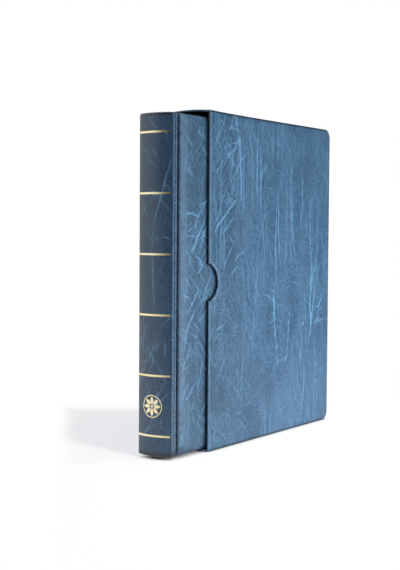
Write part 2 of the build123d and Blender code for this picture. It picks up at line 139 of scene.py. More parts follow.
IMAGE_WIDTH = 400
FOCAL_PIXELS = 1159.1
SENSOR = 36.0
CAMERA_PLACE = Vector((-1.0453, -0.6233, 0.2115))
CAMERA_FORWARD = Vector((0.83276, 0.55167, -0.04668))
CAMERA_ROLL = 0.0064


def linear(red, green, blue):
    """A colour written as sRGB from 0 to 255, as linear RGBA."""
    shares = (value / 255 for value in (red, green, blue))
    return *(s / 12.92 if s <= 0.04045 else ((s + 0.055) / 1.055) ** 2.4 for s in shares), 1.0


def configure(thing, **values):
    """Set a thing's values, and give it back."""
    for key, value in values.items():
        setattr(thing, key, value)
    return thing


def new_object(name, data, **values):
    """An object in the scene, with its values."""
    made = configure(bpy.data.objects.new(name, data), **values)
    scene.collection.objects.link(made)
    return made


class Nodes:
    """Short calls for building a node tree."""

    def __init__(self, tree):
        self.tree = tree

    def feed(self, socket, value):
        """Link a socket to another's output, or set its value."""
        if isinstance(value, bpy.types.NodeSocket):
            self.tree.links.new(value, socket)
        else:
            socket.default_value = value

    def add(self, kind, inputs=None, **settings):
        """A shader node with its settings and inputs."""
        node = configure(self.tree.nodes.new("ShaderNode" + kind), **settings)
        for key, value in (inputs or {}).items():
            self.feed(node.inputs[key], value)
        return node

    def math(self, operation, first, second=0.0, third=0.0):
        return self.add("Math", {0: first, 1: second, 2: third}, operation=operation).outputs[0]

    def times(self, first, second, added=0.0):
        return self.math("MULTIPLY_ADD", first, second, added)

    def apart(self, first, second):
        """How far two values are apart."""
        return self.math("ABSOLUTE", self.math("SUBTRACT", first, second))

    def vector(self, operation, first, second=(0, 0, 0), third=(0, 0, 0), scale=1.0):
        """Vector maths. A length or a dot product comes as a value."""
        inputs = {0: first, 1: second, 2: third, 3: scale}
        outputs = self.add("VectorMath", inputs, operation=operation).outputs
        return outputs["Value" if operation in ("LENGTH", "DOT_PRODUCT") else "Vector"]

    def mix(self, factor, low, high):
        """A colour between two colours."""
        return self.add("Mix", {0: factor, 6: low, 7: high}, data_type="RGBA").outputs[2]

    def ramp(self, value, low, high, to_low=0.0, to_high=1.0):
        """A value mapped smoothly from one range to another."""
        inputs = {"Value": value, "From Min": low, "From Max": high, "To Min": to_low, "To Max": to_high}
        return self.add("MapRange", inputs, interpolation_type="SMOOTHSTEP").outputs["Result"]

    def place(self, scale=(1, 1, 1), lean=0.0):
        """Object coordinates, turned about Y by lean in degrees and then stretched."""
        coordinates = self.add("TexCoord").outputs["Object"]
        turn = {"Vector": coordinates, "Rotation": (0, math.radians(lean), 0)}
        turned = self.add("Mapping", turn).outputs["Vector"]
        return self.add("Mapping", {"Vector": turned, "Scale": scale}).outputs["Vector"]

    def noise(self, vector, scale, detail=2.0, roughness=0.5, output=0):
        """A noise field's value, or with output 1 its colour."""
        inputs = {"Vector": vector, "Scale": scale, "Detail": detail, "Roughness": roughness}
        return self.add("TexNoise", inputs).outputs[output]

    def attribute(self, name):
        return self.add("Attribute", attribute_name=name).outputs["Fac"]

    def bump(self, strength, distance, height):
        inputs = {"Strength": strength, "Distance": distance, "Height": height}
        return self.add("Bump", inputs).outputs[0]

    def surface(self, inputs):
        """A Principled shader, joined to the material's output."""
        self.add("OutputMaterial", {"Surface": self.add("BsdfPrincipled", inputs).outputs[0]})

    def rays(self):
        """Whether a ray is the camera's, and whether it is a glossy or transmission ray, as 1 or 0."""
        path = self.add("LightPath").outputs
        return path["Is Camera Ray"], self.math("MAXIMUM", path["Is Glossy Ray"], path["Is Transmission Ray"])


# Effects that several materials share

SOCKET_KINDS = {1: "NodeSocketFloat", 3: "NodeSocketVector", 4: "NodeSocketColor"}


def new_group(name, inputs, outputs):
    """An empty node group with its sockets, each of the kind that its default's length asks for."""
    group = bpy.data.node_groups.new(name, "ShaderNodeTree")
    for way, sockets in (("INPUT", inputs), ("OUTPUT", outputs)):
        for label, default in sockets.items():
            kind = SOCKET_KINDS[np.size(default)]
            group.interface.new_socket(label, in_out=way, socket_type=kind).default_value = default
    tree = Nodes(group)
    return group, tree, group.nodes.new("NodeGroupInput").outputs, group.nodes.new("NodeGroupOutput").inputs


# Over how far a thread's slope is taken, the least slope that counts, and the slopes over which threads come
# in. Then where the edges of a line and of its halo of painted shade fade, in widths of the line

FIELD_STRIDE, LEAST_SLOPE, SLOPES = 0.04, 0.2, (0.12, 0.4)
LINE_EDGE, HALO_EDGE = (0.15, 1.0), (0.5, 2.6)


def thread_effect():
    """Thin winding lines along Z with a wider halo that marks painted shade beside them, where a noise field
    crosses a level on either side of its middle. A line's distance is the difference in level over the
    field's slope along the surface, and lines fade where the field is flat."""
    inputs = {"Vector": (0, 0, 0), "Density": 100.0, "Split": 0.04, "Width": 0.12}
    group, tree, given, out = new_group("crease_threads", inputs, {"Line": 0.0, "Halo": 0.0})
    here = tree.vector("SCALE", given["Vector"], scale=given["Density"])
    normal = tree.add("NewGeometry").outputs["Normal"]
    across = tree.vector("CROSS_PRODUCT", normal, (0, 0, -1))
    beside = tree.vector("MULTIPLY_ADD", across, (FIELD_STRIDE, FIELD_STRIDE, 0), here)
    field, next_field = (tree.noise(spot, 1.0, 2.5, 0.45) for spot in (here, beside))
    slope = tree.math("DIVIDE", tree.apart(next_field, field), FIELD_STRIDE)
    level = tree.apart(tree.apart(field, 0.5), given["Split"])
    away = tree.math("DIVIDE", level, tree.math("MAXIMUM", slope, LEAST_SLOPE))
    share = tree.math("DIVIDE", away, given["Width"])
    steep = tree.ramp(slope, *SLOPES)
    for label, edge in (("Line", LINE_EDGE), ("Halo", HALO_EDGE)):
        tree.feed(out[label], tree.times(tree.ramp(share, *edge, 1.0, 0.0), steep))
    return group


# Threads: lean in degrees, stretch along, density, split between the two levels, width, strength, and the
# share of it that is left far from the mouth

THREADS = (
    (0.0, 0.12, 50.0, 0.03, 0.09, 1.0, 1.0),
    (14.0, 0.2, 85.0, 0.03, 0.12, 0.7, 1.0),
    (46.0, 0.2, 100.0, 0.04, 0.13, 1.1, 0.5),
    (-38.0, 0.25, 115.0, 0.04, 0.13, 1.0, 0.4),
    (80.0, 0.3, 120.0, 0.04, 0.13, 0.7, 0.9),
)

# Colours of veins, of painted highlight and of painted shade, of the dull tone that the ground takes on
# from the mouth forward, with its share, and the depth of the painted shade on the veins' flanks

VEIN, PAINTED_HIGHLIGHT, PAINTED_SHADE = linear(118, 172, 213), linear(128, 162, 194), linear(22, 32, 44)
DULL, DULL_SHARE = linear(60, 78, 96), 0.45
DULL_FADE = (MOUTH_X + 20 * MM, MOUTH_X + 85 * MM)
FLANK_SHADE = 0.42

# Noise fields of the leatherette in cells to the metre, how far two of them move the lines, and grain sizes

CLOUDS, FIBRES, PATCHES, CELLS = 28.0, 560.0, 34.0, 130.0
CELL_BENDS, THREAD_BENDS = 55.0, 38.0
CELL_SWAY, THREAD_SWAY = 0.035, 0.011
PEBBLE, SMEAR, SCRATCH = 1.1 * MM, 20 * MM, 0.6 * MM

# Leatherettes: the group's inputs in this order, from the ground's colour to the gloss, and then the shine

LEATHER_INPUTS = ("Ground", "Deep", "Vein Gain", "Thread Gain", "Web Gain", "Gloss")
# The rows are copies of one leatherette. The spine's ground and deep are bluer and a little lighter, painted
# light against the shade the spine stands in, and it has more gloss and shine
LEATHERS = {
    "case": (linear(75, 106, 136), linear(53, 84, 113), 0.78, 0.4, 0.15, 0.0, 0.4),
    "cover": (linear(76, 104, 131), linear(55, 83, 110), 0.88, 0.36, 0.1, 0.0, 0.4),
    "spine": (linear(72, 109, 148), linear(54, 89, 127), 1.0, 0.22, 0.1, 0.2, 0.7),
}


def leatherette_effect():
    """Crushed leatherette: a ground mottled by clouds and upright fibres, duller from the mouth forward, with
    lighter veins between flanks of painted shade, from the piece's crease map, from threads upright and
    leaning, and from the borders of warped cells. The piece's painted light is a painted highlight over 0 and
    painted shade under 0. The height is a pebble grain and the veins."""
    inputs = dict(zip(LEATHER_INPUTS, LEATHERS["case"]))
    outputs = {"Color": VEIN, "Roughness": 0.0, "Height": 0.0}
    group, tree, given, out = new_group("crushed_leatherette", inputs, outputs)
    thread_group = thread_effect()
    upright = tree.place((1, 1, 0.4))
    cloud = tree.noise(upright, CLOUDS, 3.0, 0.55)
    fibre = tree.noise(tree.place((1, 1, 0.6)), FIBRES, 3.0, 0.6)
    tone = tree.times(cloud, 0.45, tree.times(fibre, 0.55))

    bend = tree.vector("SCALE", tree.noise(upright, CELL_BENDS, 3.0, output=1), scale=CELL_SWAY)
    warped = {"Vector": tree.vector("ADD", upright, bend), "Scale": CELLS}
    cells = tree.add("TexVoronoi", warped, feature="DISTANCE_TO_EDGE")
    web = tree.ramp(cells.outputs["Distance"], 0.0, 0.1, 1.0, 0.0)
    patch = tree.ramp(tree.noise(upright, PATCHES), 0.35, 0.62)
    web = tree.times(tree.times(web, patch), given["Web Gain"])

    across = tree.add("SeparateXYZ", {0: tree.place()}).outputs["X"]
    forward = tree.ramp(across, *DULL_FADE, 1.0, 0.0)
    drawn = tree.attribute("crease")
    vein = tree.times(tree.ramp(drawn, 0.12, 0.85), given["Vein Gain"])
    # Painted shade along the veins' flanks, from the crease map here and from each thread's halo below
    flank = tree.ramp(drawn, 0.03, 0.3, 0.0, FLANK_SHADE)
    sway = tree.vector("SCALE", tree.noise(tree.place(), THREAD_BENDS, 4.0, output=1), scale=THREAD_SWAY)
    for lean, stretch, density, split, width, strength, far in THREADS:
        spot = tree.vector("ADD", tree.place((1, 1, stretch), lean), sway)
        looks = {"Vector": spot, "Density": density, "Split": split, "Width": width}
        threads = tree.add("Group", looks, node_tree=thread_group).outputs
        worn = tree.ramp(tree.noise(tree.place((1, 1, 0.6)), 0.37 * density), 0.44, 0.6)
        gain = tree.times(worn, tree.times(given["Thread Gain"], strength))
        gain = tree.times(gain, tree.times(forward, 1 - far, far))
        vein = tree.math("MAXIMUM", vein, tree.times(threads["Line"], gain))
        shade = tree.times(threads["Halo"], tree.times(gain, FLANK_SHADE))
        flank = tree.math("MAXIMUM", flank, shade)
    vein = tree.math("MINIMUM", tree.math("MAXIMUM", vein, web), 1.0)

    grain = {"Vector": tree.place(), "Scale": 1 / PEBBLE}
    pebbles = tree.add("TexVoronoi", grain, feature="SMOOTH_F1").outputs["Distance"]
    pebble = tree.ramp(pebbles, 0.0, 0.75, 1.0, 0.0)
    speck = tree.noise(tree.place(), 0.6 / PEBBLE, 2.0, 0.7)

    ground = tree.mix(tree.times(forward, DULL_SHARE), given["Ground"], DULL)
    colour = tree.mix(tree.ramp(tone, 0.37, 0.6), given["Deep"], ground)
    colour = tree.mix(tree.ramp(speck, 0.4, 0.7, 0.0, 0.16), colour, VEIN)
    colour = tree.mix(flank, colour, given["Deep"])
    colour = tree.mix(vein, colour, VEIN)
    # Painted highlight, flecked by the speck, where the painted light is over 0, and painted shade where it
    # is under 0
    painted_light = tree.attribute("painted_light")
    highlighted = tree.times(tree.math("MAXIMUM", painted_light, 0.0), tree.ramp(speck, 0.3, 0.6, 0.35, 1.0))
    colour = tree.mix(highlighted, colour, PAINTED_HIGHLIGHT)
    shaded = tree.math("MAXIMUM", tree.times(painted_light, -1.0), 0.0)
    tree.feed(out["Color"], tree.mix(shaded, colour, PAINTED_SHADE))
    rough = tree.math("SUBTRACT", tree.times(tone, 0.14, 0.4), given["Gloss"])
    tree.feed(out["Roughness"], tree.times(vein, -0.05, rough))
    height = tree.times(speck, 0.4, tree.times(pebble, 0.6))
    tree.feed(out["Height"], tree.math("ADD", vein, height))
    return group


def handled_effect():
    """Slow clouds and fine upright scratches on a smooth surface, each from 0 to 1."""
    group, tree, _, out = new_group("handled_surface", {}, {"Cloud": 0.0, "Scratch": 0.0})
    tree.feed(out["Cloud"], tree.ramp(tree.noise(tree.place(), 1 / SMEAR, 4.0, 0.6), 0.3, 0.7))
    tree.feed(out["Scratch"], tree.ramp(tree.noise(tree.place((1, 1, 0.06)), 1 / SCRATCH), 0.35, 0.65))
    return group


# Materials

GRAIN_DEPTH, SCRATCH_DEPTH = 0.25 * MM, 0.02 * MM

# Smooth finishes: two sRGB colours, roughness and its spread, metallic, and the CAD nodes that wear them

SMOOTH = {
    "lining_paper": ((16, 17, 19), (26, 27, 30), 0.6, 0.15, 0.0, "front_endpaper back_endpaper spine_lining"),
    "greyboard": ((150, 142, 128), (172, 164, 150), 0.8, 0.15, 0.0,
                  "slipcase_front_board slipcase_back_board front_cover_board back_cover_board spine_board"),
    "gold_foil": ((250, 230, 172), (255, 243, 204), 0.26, 0.12, 1.0, "foil_lines foil_rosette"),
    "nickel": ((196, 196, 192), (214, 214, 210), 0.14, 0.12, 1.0,
               "ring_rail front_ring_halves back_ring_halves upper_lever lower_lever"),
    "dull_steel": ((150, 150, 150), (176, 176, 174), 0.34, 0.16, 1.0,
                   "rail_rivets lever_pins front_toggle_plate back_toggle_plate"),
}


def empty_tree(owner):
    """The emptied node tree of a material or a world."""
    owner.use_nodes = True
    owner.node_tree.nodes.clear()
    return Nodes(owner.node_tree)


def leatherette(name, effect, *look):
    """Satin leatherette, from a row of LEATHERS."""
    material = bpy.data.materials.new(name)
    tree = empty_tree(material)
    finish = tree.add("Group", dict(zip(LEATHER_INPUTS, look)), node_tree=effect).outputs
    tree.surface({
        "Base Color": finish["Color"],
        "Roughness": finish["Roughness"],
        "Specular IOR Level": look[-1],
        "Normal": tree.bump(0.6, GRAIN_DEPTH, finish["Height"]),
    })
    return material


def smooth_finish(name, effect, low, high, roughness, spread, metallic):
    """A smooth material that varies a little with making and handling, from a row of SMOOTH."""
    material = bpy.data.materials.new(name)
    tree = empty_tree(material)
    wear_and_painted_light = tree.add("Group", node_tree=effect).outputs
    uneven = tree.times(wear_and_painted_light["Scratch"], 0.5, tree.times(wear_and_painted_light["Cloud"], 0.5))
    tree.surface({
        "Base Color": tree.mix(wear_and_painted_light["Cloud"], linear(*low), linear(*high)),
        "Roughness": tree.times(uneven, spread, roughness),
        "Metallic": metallic,
        "Normal": tree.bump(0.4, SCRATCH_DEPTH, wear_and_painted_light["Scratch"]),
    })
    return material


# Creases: random routes drawn into a map of a sheet, in millimetres from its lower left corner

MAP_CELL = 0.5
ROUTE_STEP = 0.4
BELL_REACH = 2.2
ROUTE_WAVES, ROUTE_SIZES = (34.0, 13.0, 5.0), np.array([0.5, 0.35, 0.3, 0.34])
LONG_WAVE = 1.6
ARCH_POWER, THROB, THROB_LENGTHS = 0.45, 0.12, (9, 22)
BRANCH_LEANS, BRANCH_LENGTHS, BRANCH_STRENGTHS = (0.3, 0.95), (0.2, 0.5), (0.5, 0.85)
BRANCH_WANDER, BRANCH_THINNING = 1.2, 0.6


def route(rng, start, heading, length, wander):
    """A crease's points and headings. The heading is a straight one plus sine waves of random phase, from
    a few millimetres long to the crease's own length, and the points are the running sum of short steps."""
    along = np.arange(0, length, ROUTE_STEP)
    waves = np.array([length * LONG_WAVE, *ROUTE_WAVES])
    phase = rng.uniform(0, 2 * np.pi, 4)
    angle = heading + (wander * ROUTE_SIZES * np.sin(2 * np.pi * along[:, None] / waves + phase)).sum(axis=1)
    strides = ROUTE_STEP * stacked(np.cos(angle), np.sin(angle))
    return np.asarray(start) + np.cumsum(strides, axis=0), angle


def crease_tree(rng, start, heading, length, strength, wander, branches, depth=2):
    """A crease and its side branches, as a list of points with their strengths. The strength is a sine arch
    over the length to a low power, times a slow throb."""
    points, angle = route(rng, start, heading, length, wander)
    count = len(points)
    along = np.linspace(0, 1, count)
    arch = np.sin(np.pi * np.clip(along, 0.02, 0.98)) ** ARCH_POWER
    throb = np.sin(2 * np.pi * (along * length / rng.uniform(*THROB_LENGTHS) + rng.uniform()))
    found = [(points, strength * arch * (1 - THROB + THROB * throb))]
    for _ in range(rng.poisson(branches) if depth > 0 else 0):
        at = rng.integers(count // 8, count)
        lean = angle[at] + rng.choice((-1, 1)) * rng.uniform(*BRANCH_LEANS)
        size, force = length * rng.uniform(*BRANCH_LENGTHS), strength * rng.uniform(*BRANCH_STRENGTHS)
        turns, twigs = wander * BRANCH_WANDER, branches * BRANCH_THINNING
        found += crease_tree(rng, points[at], lean, size, force, turns, twigs, depth - 1)
    return found


def crease_map(seed, width, height, families):
    """Strength of the creases over a sheet, 0 to 1. Every point of a route adds a round bell of its family's
    half width, the stronger one wins, and families add up like layers of glaze."""
    rng = np.random.default_rng(seed)
    columns, rows = int(width / MM / MAP_CELL) + 2, int(height / MM / MAP_CELL) + 2
    field = np.zeros((rows, columns))
    for count, across, up, (heading, spread), lengths, strengths, wander, branches, half_width in families:
        reach = math.ceil(BELL_REACH * half_width / MAP_CELL)
        shifts = np.meshgrid(np.arange(-reach, reach + 2), np.arange(-reach, reach + 2), indexing="ij")
        shift_v, shift_u = (part.ravel() for part in shifts)
        trees = []
        for _ in range(count):
            start = rng.uniform(*across), rng.uniform(*up)
            lean = math.radians(rng.normal(heading, spread))
            size, force = rng.uniform(*lengths), rng.uniform(*strengths)
            trees += crease_tree(rng, start, lean, size, force, wander, branches)
        points = np.concatenate([points for points, _ in trees]) / MAP_CELL
        force = np.concatenate([force for _, force in trees])
        cell = np.floor(points).astype(int)
        u, v = cell[:, :1] + shift_u, cell[:, 1:] + shift_v
        gap = ((u - points[:, :1]) ** 2 + (v - points[:, 1:]) ** 2) * (MAP_CELL / half_width) ** 2
        inside = (u >= 0) & (u < columns) & (v >= 0) & (v < rows)
        drawn = np.zeros_like(field)
        np.maximum.at(drawn, (v[inside], u[inside]), (force[:, None] * np.exp(-gap))[inside])
        field = 1 - (1 - field) * (1 - drawn)
    return field


def read_map(field, u, v):
    """The map at places in metres, each a straight blend of the four cells round it."""
    rows, columns = field.shape
    x = np.clip(u / MM / MAP_CELL, 0, columns - 1.001)
    y = np.clip(v / MM / MAP_CELL, 0, rows - 1.001)
    i, j = x.astype(int), y.astype(int)
    s, t = x - i, y - j
    low = field[j, i] * (1 - s) + field[j, i + 1] * s
    high = field[j + 1, i] * (1 - s) + field[j + 1, i + 1] * s
    return low * (1 - t) + high * t


# Meshes from grids


class Sheet:
    """Grids of points gathered into one mesh, with every point's crease and its painted light and shade."""

    def __init__(self):
        self.points, self.quads, self.crease, self.painted_light = [], [], [], []
        self.count = 0

    def grid(self, points, crease=0.0, painted_light=0.0, flip=False, around=False):
        """Add rows by columns of xyz. around joins the last column to the first."""
        shape = points.shape[:2]
        index = np.arange(shape[0] * shape[1]).reshape(shape) + self.count
        if around:
            index = np.concatenate([index, index[:, :1]], axis=1)
        corners = index[:-1, :-1], index[:-1, 1:], index[1:, 1:], index[1:, :-1]
        quads = np.stack(corners, axis=-1).reshape(-1, 4)
        self.quads.append(quads[:, ::-1] if flip else quads)
        self.points.append(points.reshape(-1, 3))
        self.crease.append(np.broadcast_to(crease, shape).ravel())
        self.painted_light.append(np.broadcast_to(painted_light, shape).ravel())
        self.count += shape[0] * shape[1]

    def piece(self, name):
        """The Blender object. Points that coincide are welded, a cell with two points alike becomes a
        triangle, and one with fewer left is dropped."""
        points = np.concatenate(self.points)
        key = np.round(points / WELD).astype(np.int64)
        _, first, same = np.unique(key, axis=0, return_index=True, return_inverse=True)
        quads = same.ravel()[np.concatenate(self.quads)]
        alike = quads == np.roll(quads, -1, axis=1)
        closed = alike.sum(axis=1)
        pinched = quads[closed == 1][~alike[closed == 1]].reshape(-1, 3)
        mesh = bpy.data.meshes.new(name)
        mesh.from_pydata(points[first], [], quads[closed == 0].tolist() + pinched.tolist())
        for label, values in (("crease", self.crease), ("painted_light", self.painted_light)):
            data = mesh.attributes.new(label, "FLOAT", "POINT").data
            data.foreach_set("value", np.concatenate(values)[first].astype(np.float32))
        mesh.polygons.foreach_set("use_smooth", np.ones(len(mesh.polygons), dtype=bool))
        mesh.validate()
        return new_object(name, mesh)


def add_piece(sheet, name, body, material, slot, *nodes):
    """A sheet as a piece on its body, in its material, in place of its CAD nodes. The slot is not used."""
    made = sheet.piece(name)
    made.data.materials.append(material)
    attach(made, body)
    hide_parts(*nodes)
    return made


def steps(low, high, pitch):
    """Even places from low to high, about a pitch apart."""
    return np.linspace(low, high, max(2, int(round(abs(high - low) / pitch)) + 1))


def joined(*runs):
    """Runs of places, each starting where the last one ends, as one array."""
    return np.concatenate([runs[0]] + [run[1:] for run in runs[1:]])


def smoothstep(value):
    """Zero below 0, one above 1, and three squares less two cubes between."""
    t = np.clip(value, 0, 1)
    return t * t * (3 - 2 * t)


def travel(path):
    """How far along a path each of its points lies."""
    return np.append(0, np.cumsum(np.hypot(*np.diff(path, axis=0).T)))


def stacked(*parts):
    """Points from arrays of their coordinates that broadcast together."""
    return np.stack(np.broadcast_arrays(*parts), axis=-1)


def border(grid):
    """A grid's outermost points, once round: first row, last column, last row back, first column back."""
    return np.concatenate([grid[0], grid[1:, -1], grid[-1, -2::-1], grid[-2:0:-1, 0]])


def right_hand(chord):
    """Unit vectors to the right of each chord."""
    normal = stacked(chord[:, 1], -chord[:, 0])
    return normal / np.linalg.norm(normal, axis=1, keepdims=True)


def loop_normals(loop):
    """Outward normals of a closed anticlockwise loop, square to the chord between neighbours."""
    return right_hand(np.roll(loop, -1, axis=0) - np.roll(loop, 1, axis=0))


def path_normals(path):
    """Normals on the right-hand side of an open path, square to the chord between neighbours."""
    return right_hand(np.gradient(path, axis=0))


# Slipcase


def mouth_bow(points):
    """Lift the mouth's top a millimetre at the panels and two between them. The lift dies away along the
    case as an exponential, and grows with height as a smoothstep."""
    away = np.exp(-(points[..., 0] - MOUTH_X) / MOUTH_BOW_REACH)
    rise = smoothstep((points[..., 2] - MOUTH_BOW_FROM) / (CASE_TOP - MOUTH_BOW_FROM))
    across = 2 - np.clip(np.abs(points[..., 1]) / PANEL_INNER, 0, 1) ** 2
    lifted = points.copy()
    lifted[..., 2] += MOUTH_BOW * away * rise * across
    return lifted


def corner_draw(distance, radius):
    """How far a round corner's outline stands in, at a distance from the corner's foot."""
    past = np.clip(radius - distance, 0, radius)
    return radius - np.sqrt(radius**2 - past**2)


def panel_rows(inset):
    """Heights of a side panel's rows, drawn in by inset, and where each row starts and ends. Rows bunch by a
    cosine rule at the corners and by a sine rule at the notch's lips, so both stay round."""
    corner = CASE_CORNER - inset
    notch = NOTCH_RADIUS + inset
    half = math.sqrt(notch**2 - (MOUTH_X + inset - NOTCH_CENTRE_X) ** 2)
    foot = CASE_CORNER - corner * np.cos(np.linspace(0, np.pi / 2, WIDE_QUARTER))
    swing = np.linspace(-np.pi / 2, np.pi / 2, NOTCH_TURN)
    heights = joined(
        foot,
        steps(CASE_CORNER, CASE_MIDDLE - half, PANEL_PITCH_UP),
        CASE_MIDDLE + half * np.sin(swing),
        steps(CASE_MIDDLE + half, CASE_TOP - CASE_CORNER, PANEL_PITCH_UP),
        CASE_TOP - foot[::-1],
    )
    to_edge = np.minimum(heights, CASE_TOP - heights) - inset
    rear = REAR_X - inset - corner_draw(to_edge, corner)
    mouth = MOUTH_X + inset + corner_draw(to_edge, max(CASE_MOUTH_ROUND - inset, LEAST_ROUND))
    rise = np.abs(heights - CASE_MIDDLE)
    cut = NOTCH_CENTRE_X + np.sqrt(np.clip(notch**2 - rise**2, 0, None))
    return heights, np.where(rise < half, np.maximum(cut, mouth), mouth), rear


def panel_sheet(creases, side):
    """A side panel's leatherette: a flat face whose rows run from mouth to rear, and a rim carried round
    its edge, a quarter turn and then the wall back to the strip. side is -1 in front and 1 behind."""
    heights, mouth, rear = panel_rows(EDGE_ROUND)
    share = np.linspace(0, 1, int((REAR_X - MOUTH_X) / PANEL_PITCH_ACROSS))
    x = mouth[:, None] + (rear - mouth)[:, None] * share
    z = np.broadcast_to(heights[:, None], x.shape)
    crease = read_map(creases, x - MOUTH_X, z)
    y = CASE_FACE - CREASE_DEPTH * crease
    sheet = Sheet()
    to_side = np.minimum(z - z[0, 0], z[-1, 0] - z) / EDGE_FADE
    to_mouth = (x - x[:, :1]) / EDGE_FADE
    # Painted highlight in from the mouth edge and painted shade in from the top and foot edges
    wear_and_painted_light = np.where(to_mouth < to_side, MOUTH_HIGHLIGHT * np.exp(-to_mouth), EDGE_SHADE * np.exp(-to_side))
    sheet.grid(mouth_bow(stacked(x, side * y, z)), crease, wear_and_painted_light, flip=side > 0)

    flat = border(stacked(x, z))
    turn = np.linspace(0, np.pi / 2, QUARTER)
    reach = np.append(EDGE_ROUND * np.sin(turn), [EDGE_ROUND, EDGE_ROUND])[:, None]
    drop = np.append(EDGE_ROUND * (1 - np.cos(turn)), [EDGE_STEP, CASE_FACE - PANEL_INNER])[:, None]
    outward = loop_normals(flat)
    place = flat + reach[..., None] * outward
    level = np.maximum(border(y) - drop, PANEL_INNER)
    # The rim carries a painted highlight where it faces the mouth and painted shade elsewhere, weaker down
    # the wall
    painted_light = np.where(outward[:, 0] < MOUTH_SIDE, MOUTH_HIGHLIGHT, EDGE_SHADE)
    painted_light = painted_light * np.linspace(1, 0.6, len(reach))[:, None]
    fading = border(crease) * np.linspace(1, 0.2, len(reach))[:, None]
    rim = stacked(place[..., 0], side * level, place[..., 1])
    sheet.grid(mouth_bow(rim), fading, painted_light, flip=side < 0, around=True)
    return sheet


def strip_path(inset):
    """Points along the strip at an inset: from the mouth along the foot, round both rear corners, and back
    along the top."""
    corner = CASE_CORNER - inset
    quarter = np.linspace(0, np.pi / 2, WIDE_QUARTER)
    centre = REAR_X - CASE_CORNER
    foot = steps(MOUTH_X + STRIP_END_ROUND, centre, PITCH)
    rise = steps(CASE_CORNER, CASE_TOP - CASE_CORNER, PITCH)
    x = joined(foot, centre + corner * np.sin(quarter), np.full(len(rise), centre + corner),
               centre + corner * np.cos(quarter), foot[::-1])
    z = joined(np.full(len(foot), inset), CASE_CORNER - corner * np.cos(quarter), rise,
               CASE_TOP - CASE_CORNER + corner * np.sin(quarter), np.full(len(foot), CASE_TOP - inset))
    return x[:, None], z[:, None]


def strip_sheet(creases):
    """The strip's leatherette: a closed band of the strip's thickness, its section carried along the
    strip's path, whose two ends at the mouth are half ellipses."""
    x, z = strip_path(0)
    inner_x, inner_z = strip_path(STRIP)
    y = steps(-PANEL_INNER, PANEL_INNER, PITCH)
    travelled = travel(np.hstack([x, z]))[:, None]
    crease = read_map(creases, *np.broadcast_arrays(travelled, y + PANEL_INNER))
    top, under = stacked(x, y, z), stacked(inner_x, y, inner_z)
    sheet = Sheet()
    sheet.grid(mouth_bow(top), crease)
    sheet.grid(mouth_bow(under), flip=True)
    turn = np.linspace(0, np.pi, 2 * QUARTER)[:, None]
    for end in (0, -1):
        rim = (top[end] + under[end]) / 2 + (top[end] - under[end]) / 2 * np.cos(turn)[..., None]
        rim[..., 0] -= STRIP_END_ROUND * np.sin(turn)
        # A painted highlight over each of the strip's rounded ends, strongest at its tip
        sheet.grid(mouth_bow(rim), 0.0, np.sin(turn), flip=end == 0)
    for side in (0, -1):
        wall = np.stack([top[:, side], under[:, side]])
        sheet.grid(mouth_bow(wall), flip=side == -1)
    return sheet


# The lining's edge, line by line: how far it is drawn in from the mouth, and its level

PAPER_DRAW = np.array([1.4 * MM, 0.4 * MM, -PAPER_PROUD, -PAPER_PROUD, 0.15 * MM])
PAPER_LEVELS = PANEL_INNER + np.array([-LINING, -LINING, 0.1 * MM, PAPER_FOLD, PAPER_FOLD + 0.05 * MM])
LINING_COLUMNS = 80


def lining_sheet():
    """Black paper inside the case: a face on each panel, a band on the strip, and the paper's edge, a
    profile carried up the mouth and round the notch, folded over the inner half of the panel's edge."""
    sheet = Sheet()
    face_y = PANEL_INNER - LINING
    heights, mouth, rear = panel_rows(1.0 * MM)
    inside = (heights > STRIP) & (heights < CASE_TOP - STRIP)
    rear = np.minimum(rear, REAR_X - STRIP)
    x = (mouth[:, None] + (rear - mouth)[:, None] * np.linspace(0, 1, LINING_COLUMNS))[inside]
    edge_heights, edge, _ = panel_rows(0.0)
    held = (edge_heights > STRIP / 2) & (edge_heights < CASE_TOP - STRIP / 2)
    path = stacked(edge[held], edge_heights[held])
    fold = path + PAPER_DRAW[:, None, None] * path_normals(path)
    for side in (-1, 1):
        sheet.grid(mouth_bow(stacked(x, side * face_y, heights[inside, None])), flip=side < 0)
        edging = stacked(fold[..., 0], side * PAPER_LEVELS[:, None], fold[..., 1])
        sheet.grid(mouth_bow(edging), flip=side < 0)
    x, z = strip_path(STRIP + LINING)
    sheet.grid(mouth_bow(stacked(x, steps(-face_y, face_y, 4 * PITCH), z)), flip=True)
    return sheet


# Binder covers

STUFFING_ACROSS, STUFFING_UP, STUFFING_FRAMES = 22, 30, 20
STUFFING_RIM = 0.1 * MM


